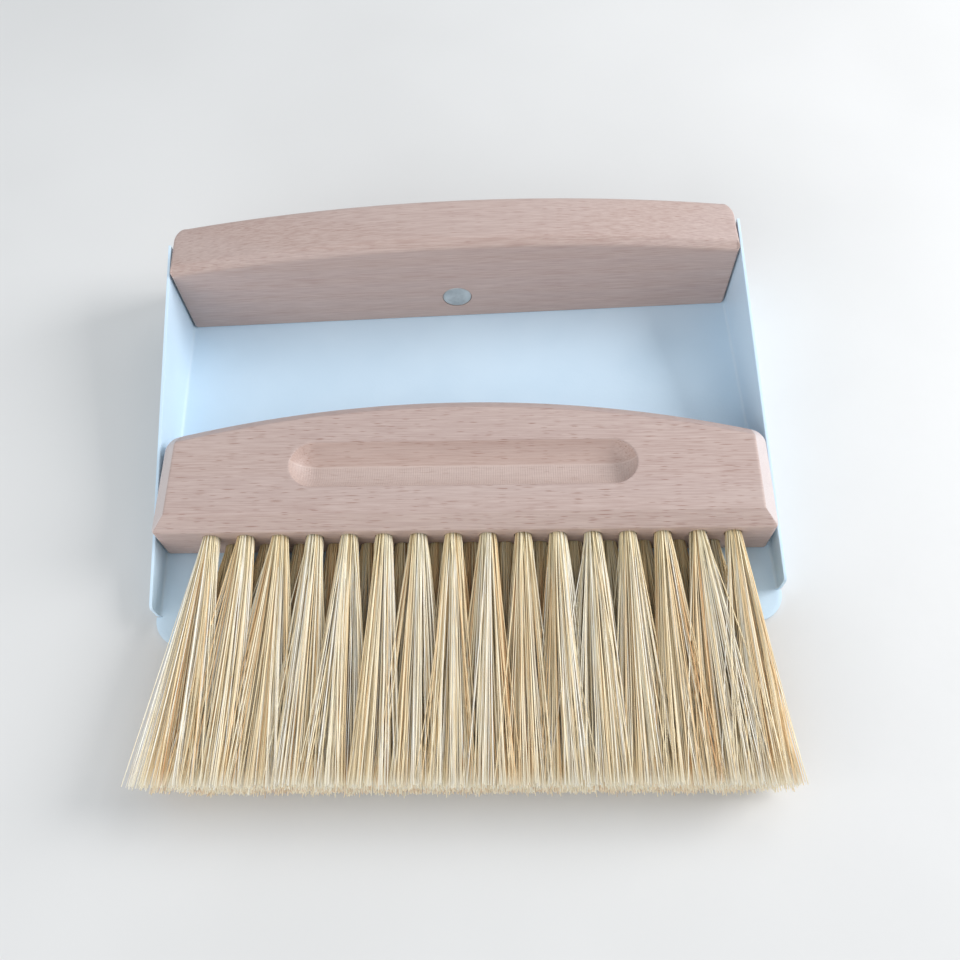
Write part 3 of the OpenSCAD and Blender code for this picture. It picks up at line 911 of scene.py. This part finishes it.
def wall_top(y):
    """Height of the wall's top edge: a straight rise, with a round corner at the front."""
    r = WALL_CORNER_R
    slope = (wall_back_top - WALL_FRONT_TOP) / (WALL_BACK - WALL_FRONT)
    straight = WALL_FRONT_TOP + slope * (y - WALL_FRONT)
    centre_z = WALL_FRONT_TOP + slope * r - r * math.sqrt(1 + slope * slope)
    centre_y = WALL_FRONT + r
    round_top = centre_z + np.sqrt(np.maximum(r * r - (y - centre_y) ** 2, 0.0))
    return np.where(y < centre_y - r * math.sin(math.atan(slope)), round_top, straight)


def wall_patch(side):
    """A bend of a quarter circle and the wall above it, from the front to the square back end."""
    middle_r = BEND_R + SHEET / 2
    angle = np.linspace(0.0, math.pi / 2, 7)
    corner = np.linspace(0.0, math.pi / 2, 12)
    curved = WALL_FRONT + RELIEF + (WALL_CORNER_R - RELIEF) * (1 - np.cos(corner))
    y = np.concatenate([curved, np.linspace(WALL_FRONT + 2 * WALL_CORNER_R, WALL_BACK, 40)])
    rise = np.linspace(0.0, 1.0, 12)[1:]
    bend_x = np.repeat((flat_half + middle_r * np.sin(angle))[None, :], len(y), 0)
    bend_z = np.repeat((SHEET + BEND_R - middle_r * np.cos(angle))[None, :], len(y), 0)
    foot = SHEET + BEND_R
    wall_z = foot + (wall_top(y)[:, None] - foot) * rise[None, :]
    wall_x = np.full_like(wall_z, flat_half + middle_r)
    x = side * np.concatenate([bend_x, wall_x], 1)
    z = np.concatenate([bend_z, wall_z], 1)
    return np.stack([x, np.repeat(y[:, None], x.shape[1], 1), z], -1)


print("floor between the bends:", round(2 * flat_half / MM, 1), "mm wide")

# %% Pan sheet with its thickness
def stitched(patches):
    """One list of points and faces from several grids."""
    points, faces, start = [], [], 0
    for patch in patches:
        rows, columns = patch.shape[:2]
        points.append(patch.reshape(-1, 3))
        faces.append(grid_faces(rows, columns, start))
        start += rows * columns
    return np.concatenate(points), np.concatenate(faces)


def make_pan():
    """The floor has a row for every row of the walls, so that the bends join it, and one more in
    front, where a small relief parts each wall from the lip."""
    walls = [wall_patch(-1), wall_patch(1)]
    behind = np.linspace(WALL_BACK, tray_high[1], 4)[1:]
    rows = np.concatenate([[WALL_FRONT], walls[0][:, 0, 1], behind])
    points, faces = stitched([floor_patch(rows), lip_patch()] + walls)
    piece = tidy_surface(put_mesh("pan_sheet", points, [faces]))
    thick = piece.modifiers.new("thickness", "SOLIDIFY")
    thick.thickness = SHEET
    thick.offset = 0.0
    thick.use_even_offset = True
    soft = piece.modifiers.new("softened_edges", "BEVEL")
    soft.width = 0.32 * MM
    soft.segments = 3
    soft.limit_method = "ANGLE"
    soft.angle_limit = math.radians(50)
    soft.harden_normals = False
    return piece


pan_sheet = make_pan()
screw_low, screw_high = (np.array(corner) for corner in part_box("handle_screws"))
head_r = (screw_high[1] - screw_low[1]) / 2
screw_y = (screw_high[1] + screw_low[1]) / 2
CONE_WIDE, CONE_NARROW, CONE_DEPTH = 4.65 * MM, 2.15 * MM, 1.5 * MM
cone = [(0.0, -MM), (CONE_WIDE, -MM), (CONE_NARROW, CONE_DEPTH), (0.0, CONE_DEPTH)]
cut(pan_sheet, [turned(np.array([x, screw_y, 0.0]), UP, cone, 48)
                for x in np.linspace(screw_low[0] + head_r, screw_high[0] - head_r, 4)])
finish_piece(pan_sheet, "pan", "coated_sheet", powder_coat, "pan_tray")

# %% [markdown]
# ## Fibres
# Each tuft is a bunch of about 190 plant fibres, folded over a strip of metal at the bottom of its
# hole. They leave the hole packed tight, swell a little just outside it, and spread to a wider disc
# at their cut tips. Neighbouring fibres cling together in strands, and some wander into the next
# tuft. Hair particles could make them, but a mesh keeps every fibre in its place when the model is
# exported. All the fibres of a tuft are one array: a path with a slight bow for each fibre, and a
# three-sided tube along each path.

# %% Fibre paths
PER_TUFT = 190
TUBE_SIDES = 3
STRANDS = 26
STATIONS = np.array([-3.0, 0.0, 2.5, 8.0, 17.0, 29.0, 43.0, 58.0, 73.0, 88.0]) * MM
TIP_REACH = 109.4 * MM
TIP_SHIFT = 1.4 * MM
LOWEST = 1.3 * MM
FAN = 9.6 * MM


def sunflower(count, rng):
    """Places that fill a disc of radius one evenly: the radius grows with the square root of the
    number and each place is a golden angle further round, with a little disorder."""
    number = np.arange(count) + 0.5
    radius = np.sqrt(number / count)
    angle = number * math.pi * (3 - math.sqrt(5)) + rng.normal(0.0, 0.25, count)
    radius = np.clip(radius + rng.normal(0.0, 0.03, count), 0.0, 1.0)
    return np.column_stack([radius * np.cos(angle), radius * np.sin(angle)])


def nearest_strand(places, rng):
    """For every place in the disc, the number of the nearest of a few random strand middles."""
    middles = sunflower(STRANDS, rng)
    return np.argmin(((places[:, None, :] - middles[None]) ** 2).sum(-1), axis=1)


def off_middle(points):
    """How far points lie to the right of the middle of the row of tips."""
    return points @ across - block_middle - TIP_SHIFT


def held_in(end, wander):
    """Tips held between the ends of the row, with a little more room for those that wander."""
    side = off_middle(end)
    room = TIP_REACH + wander * 4.0 * MM
    end = end + (np.clip(side, -room, room) - side)[:, None] * across
    end[:, 2] = np.maximum(end[:, 2], LOWEST)
    return end


def fan_width(node, side, place):
    """Half width of a tuft's fan at its tip: the last three tufts of a row reach further outwards.

    The share of the way to the end of the row is one for the outermost tuft and less for the next."""
    names = upper_names if node in upper_names else lower_names
    number = names.index(node)
    from_end = min(number, len(names) - 1 - number)
    share = (0.9, 0.4, 0.15)[from_end] if from_end < 3 else 0.0
    outward = FAN + share * max(TIP_REACH - abs(side) - FAN, 0.0)
    return np.where(place * side > 0, outward, FAN)


def fibre_paths(node, rng):
    """Paths of one tuft as a (fibres, points, 3) array, read from the tuft's solid, and their strands.

    A path runs from its place in the root disc, past a slight swelling, straight to the same place in
    the wide fan of tips, plus a bow that is nothing at both ends. Fibres of a strand share most of
    their bow and scatter. A few fibres near the top wander well away from their place."""
    points = node_points(node)
    mouth = tuft_mouth(node)
    tip = far_end(points, unit(far_end(points, -inward, 2 * MM) - mouth), 0.3 * MM)
    free = (mouth - tip) @ inward
    disc = sunflower(PER_TUFT, rng)
    strand = nearest_strand(disc, rng)

    def spread(width, height):
        return disc[:, :1] * across * width + disc[:, 1:] * UP * height

    def loose(shared, own):
        pair = rng.normal(0.0, 1.0, (STRANDS, 2))[strand] * shared
        pair = pair + rng.normal(0.0, 1.0, (PER_TUFT, 2)) * own
        return pair[:, :1] * across + pair[:, 1:] * UP

    wander = rng.random(PER_TUFT) < np.where(disc[:, 1] > 0.35, 0.14, 0.04)
    offset = loose((1.5 * MM, 0.6 * MM), (1.0 * MM, 0.4 * MM)) * np.where(wander, 2.6, 1.0)[:, None]
    below = tip - mouth - ((tip - mouth) @ across) * across
    fan = spread(fan_width(node, off_middle(mouth), disc[:, :1]), 5.0 * MM)
    end = held_in(mouth + below + fan + offset, wander)
    along = STATIONS / STATIONS[-1] * free
    share = np.clip((along - along[2]) / (free - along[2]), 0.0, 1.0)
    girth = np.array([2.85, 2.95] + [3.3] * (len(STATIONS) - 2))[None, :, None] * MM
    root = disc[:, None, :1] * across * girth + disc[:, None, 1:] * UP * girth
    out = (end - mouth) - ((end - mouth) @ inward)[:, None] * inward
    bow = loose((0.5 * MM, 0.4 * MM), (0.3 * MM, 0.3 * MM))
    swell = (4 * share * (1 - share))[None, :, None]
    uneven = 1 + rng.normal(0.0, 0.004, PER_TUFT) + (rng.random(PER_TUFT) < 0.05) * 0.012
    path = mouth - inward * along[None, :, None] * uneven[:, None, None]
    path = path + root * (1 - share)[None, :, None] + out[:, None, :] * share[None, :, None]
    path = path + swell * bow[:, None, :]
    path[..., 2] = np.maximum(path[..., 2], LOWEST - 0.05 * MM)
    return path, strand


def tubes(path, radius, shade, way):
    """Three-sided tubes along paths, tapering a little, closed at the cut tip, with their UV map.

    Each corner of a tube's ring is the path point plus the radius along one of three directions
    square to the brush's inward direction. U holds the fibre's own shade and V the way along it."""
    count, steps = path.shape[:2]
    angle = np.arange(TUBE_SIDES) * 2 * math.pi / TUBE_SIDES
    ring = np.cos(angle)[:, None] * across + np.sin(angle)[:, None] * UP
    taper = np.linspace(1.0, 0.9, steps)
    girth = radius[:, None] * taper[None, :]
    points = path[:, :, None, :] + girth[:, :, None, None] * ring[None, None]
    index = np.arange(count * steps * TUBE_SIDES).reshape(count, steps, TUBE_SIDES)
    here, there = index[:, :-1], index[:, 1:]
    sides = np.stack([here, np.roll(here, -1, 2), np.roll(there, -1, 2), there], -1).reshape(-1, 4)
    ends = index[:, -1, :]
    way = np.broadcast_to(way[None, :, None], index.shape)
    own = np.broadcast_to(shade[:, None, None], index.shape)
    return points.reshape(-1, 3), [sides, ends], np.stack([own, way], -1).reshape(-1, 2)


def put_uv(piece, point_uv):
    """Gives every face corner the UV value of its point."""
    mesh = piece.data
    corner = np.empty(len(mesh.loops), dtype=np.int32)
    mesh.loops.foreach_get("vertex_index", corner)
    layer = mesh.uv_layers.new(name="fibre")
    layer.data.foreach_set("uv", point_uv[corner].astype(np.float32).ravel())


print("fibres:", PER_TUFT * (len(upper_names) + len(lower_names)))

# %% [markdown]
# ## Fibre finish
# Dried plant fibre is pale straw, and no two fibres match: most are cream, some nearly white, and a
# few tan. The fibre's shade comes from its U value, which for the lower row is also darker as a
# painted shadow, where the upper row shades it. It is a little darker where the bunch leaves
# its hole, and paler at the cut tip.

# %% Fibre finish
def make_fibre_finish():
    """A ramp from tan through cream to near white by U, with streaks along the fibre and pale tips."""
    material, tree, shader = new_material("plant_fibre", Roughness=0.5, Specular_IOR_Level=0.25)
    uv = add(tree, "ShaderNodeUVMap", uv_map="fibre")
    parts = add(tree, "ShaderNodeSeparateXYZ")
    join(tree, uv.outputs["UV"], parts.inputs["Vector"])
    ramp = add(tree, "ShaderNodeValToRGB")
    stops = ((0.0, (0.68, 0.38, 0.17)), (0.2, (0.90, 0.64, 0.35)), (0.5, (0.97, 0.82, 0.54)),
             (0.8, (0.99, 0.91, 0.70)), (1.0, (0.99, 0.96, 0.86)))
    while len(ramp.color_ramp.elements) < len(stops):
        ramp.color_ramp.elements.new(0.5)
    for element, (position, colour) in zip(ramp.color_ramp.elements, stops):
        element.position = position
        element.color = (*colour, 1.0)
    join(tree, parts.outputs["X"], ramp.inputs["Fac"])
    streak = add(tree, "ShaderNodeTexNoise", inputs={"Scale": 1.0, "Detail": 2.0})
    join(tree, scaled(tree, uv.outputs["UV"], (900.0, 9.0, 1.0)), streak.inputs["Vector"])
    patchy = remap(tree, streak.outputs["Fac"], 0.35, 0.75, 0.0, 0.35)
    colour = blend_colour(tree, patchy, ramp.outputs["Color"], (0.84, 0.60, 0.34))
    root = remap(tree, parts.outputs["Y"], 0.0, 0.25, 0.30, 0.0)
    colour = blend_colour(tree, root, colour, (0.88, 0.78, 0.46))
    tip = remap(tree, parts.outputs["Y"], 0.93, 1.0, 0.0, 0.45)
    colour = blend_colour(tree, tip, colour, (0.95, 0.90, 0.74))
    join(tree, colour, shader.inputs["Base Color"])
    join(tree, remap(tree, streak.outputs["Fac"], 0.3, 0.7, 0.38, 0.6), shader.inputs["Roughness"])
    return material


plant_fibre = make_fibre_finish()


def make_tuft(node, number):
    """One tuft: its paths, tubes of 0.3 to 0.56 mm, and its fibres' shades, partly shared by strand."""
    rng = np.random.default_rng(1000 + number)
    path, strand = fibre_paths(node, rng)
    radius = rng.uniform(0.15, 0.28, PER_TUFT) * MM
    # The lower row is darker on the whole: painted shadow, where the upper row shades it.
    tone_with_lower_row_shadow = 0.68 if node in upper_names else 0.42
    shade = tone_with_lower_row_shadow + rng.normal(0.0, 0.22, STRANDS)[strand] + rng.normal(0.0, 0.18, PER_TUFT)
    way = np.clip(STATIONS / STATIONS[-1], 0.0, 1.0)
    points, faces, uv = tubes(path, radius, np.clip(shade, 0.0, 1.0), way)
    piece = put_mesh(node.replace("tuft", "fibres"), points, faces)
    put_uv(piece, uv)
    return piece


for number, node in enumerate(upper_names + lower_names):
    finish_piece(make_tuft(node, number), "brush", "fibre", plant_fibre, node)

# %% [markdown]
# ## Loose hairs
# On a real brush a few thin hairs spring out of line. Each is a curve from a hole's mouth, lifted and
# bent to one side, so the bunches do not look combed. More of them stand at the ends of the rows.

# %% Loose hairs
LOOSE_HAIRS = 46
HAIR_POINTS = 14


def make_loose_hairs(count):
    """Curved paths: a straight run from a mouth to a far tip, plus a large bow sideways and up."""
    rng = np.random.default_rng(77)
    mouths = np.array([tuft_mouth(name) for name in upper_names])
    last = len(mouths) - 1
    pick = np.clip(np.round(rng.beta(0.6, 0.6, count) * last).astype(int), 0, last)
    outer = pick / last * 2 - 1
    start = mouths[pick] + rng.normal(0.0, 1.1 * MM, (count, 1)) * across
    start = start + rng.normal(0.0, 0.9 * MM, (count, 1)) * UP
    side = outer * 7.0 * MM + rng.normal(0.0, 5.5 * MM, count)
    length = rng.uniform(62.0, 88.0, count) * MM
    end = start - inward * length[:, None] + side[:, None] * across
    end = held_in(end + UP * rng.uniform(-6.0, 0.0, (count, 1)) * MM, np.ones(count))
    way = np.linspace(0.0, 1.0, HAIR_POINTS)
    share = way[None, :, None]
    bow = rng.normal(0.0, 2.2 * MM, (count, 1, 1)) * across
    bow = bow + rng.uniform(0.0, 3.0, (count, 1, 1)) * MM * UP
    path = start[:, None, :] * (1 - share) + end[:, None, :] * share + 4 * share * (1 - share) * bow
    radius = rng.uniform(0.07, 0.12, count) * MM
    shade = np.clip(rng.normal(0.75, 0.2, count), 0.0, 1.0)
    points, faces, uv = tubes(path, radius, shade, way)
    piece = put_mesh("loose_hairs", points, faces)
    put_uv(piece, uv)
    return piece


finish_piece(make_loose_hairs(LOOSE_HAIRS), "brush", "fibre", plant_fibre)

# %% [markdown]
# ## Magnets, screws and anchors
# A disc magnet is let into each board where they meet. Its nickel plate is dull, with a rounded rim.
# A lathe profile carried round its axis makes it. The four screws under the pan and the hidden
# anchor strips keep their solid-model shapes and get a plated finish.

# %% Plated metal finish
def make_plated(name, colour, rough):
    """Metal with fine scratches: noise stretched one way for roughness, and mottle for colour."""
    material, tree, shader = new_material(name, Metallic=1.0)
    place = object_place(tree)
    uneven = use_group(tree, unevenness, place, Patch=160.0, Grain=4000.0)
    dim = tuple(0.72 * part for part in colour)
    tone = remap(tree, uneven.outputs["Mottle"], 0.3, 0.7)
    join(tree, blend_colour(tree, tone, dim, colour), shader.inputs["Base Color"])
    scratch = add(tree, "ShaderNodeTexNoise", inputs={"Scale": 1.0, "Detail": 3.0})
    join(tree, scaled(tree, place, (500.0, 500.0, 6000.0), 0.4), scratch.inputs["Vector"])
    dull = remap(tree, scratch.outputs["Fac"], 0.3, 0.7, rough, rough + 0.18)
    join(tree, dull, shader.inputs["Roughness"])
    bumped(tree, shader, scratch.outputs["Fac"], 0.15, 0.05 * MM)
    return material


nickel = make_plated("dull_nickel", (0.66, 0.66, 0.64), 0.34)
zinc = make_plated("bright_zinc", (0.70, 0.71, 0.72), 0.25)
for node in ("handle_screws", "tuft_anchors"):
    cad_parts[node].data.materials.clear()
    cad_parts[node].data.materials.append(zinc)
print("plated:", nickel.name, zinc.name)


# %% Disc magnets
def make_disc(name, node, axis):
    """A disc turned about axis: a flat face, a rounded rim, a straight side and a flat back."""
    points = node_points(node)
    face = far_end(points, axis)
    length = np.linalg.norm(face - far_end(points, -axis))
    r = (points @ UP).max() - face @ UP
    rim = 0.5 * MM
    angle = np.linspace(0.0, math.pi / 2, 6)
    profile = [(0.0, 0.0), (r * 0.45, 0.0), (r * 0.8, 0.0)]
    profile += [(r - rim + rim * math.sin(a), rim - rim * math.cos(a)) for a in angle]
    profile += [(r, length / 2), (r, length), (0.0, length)]
    ring_points, faces = turned(face, -axis, profile, 64)
    return tidy_surface(put_mesh(name, ring_points, [faces]), sharp=True)


for body, node, axis in (("pan", "pan_magnet", -BACK), ("brush", "brush_magnet", inward)):
    finish_piece(make_disc(node + "_disc", node, axis), body, "magnet_plate", nickel, node)
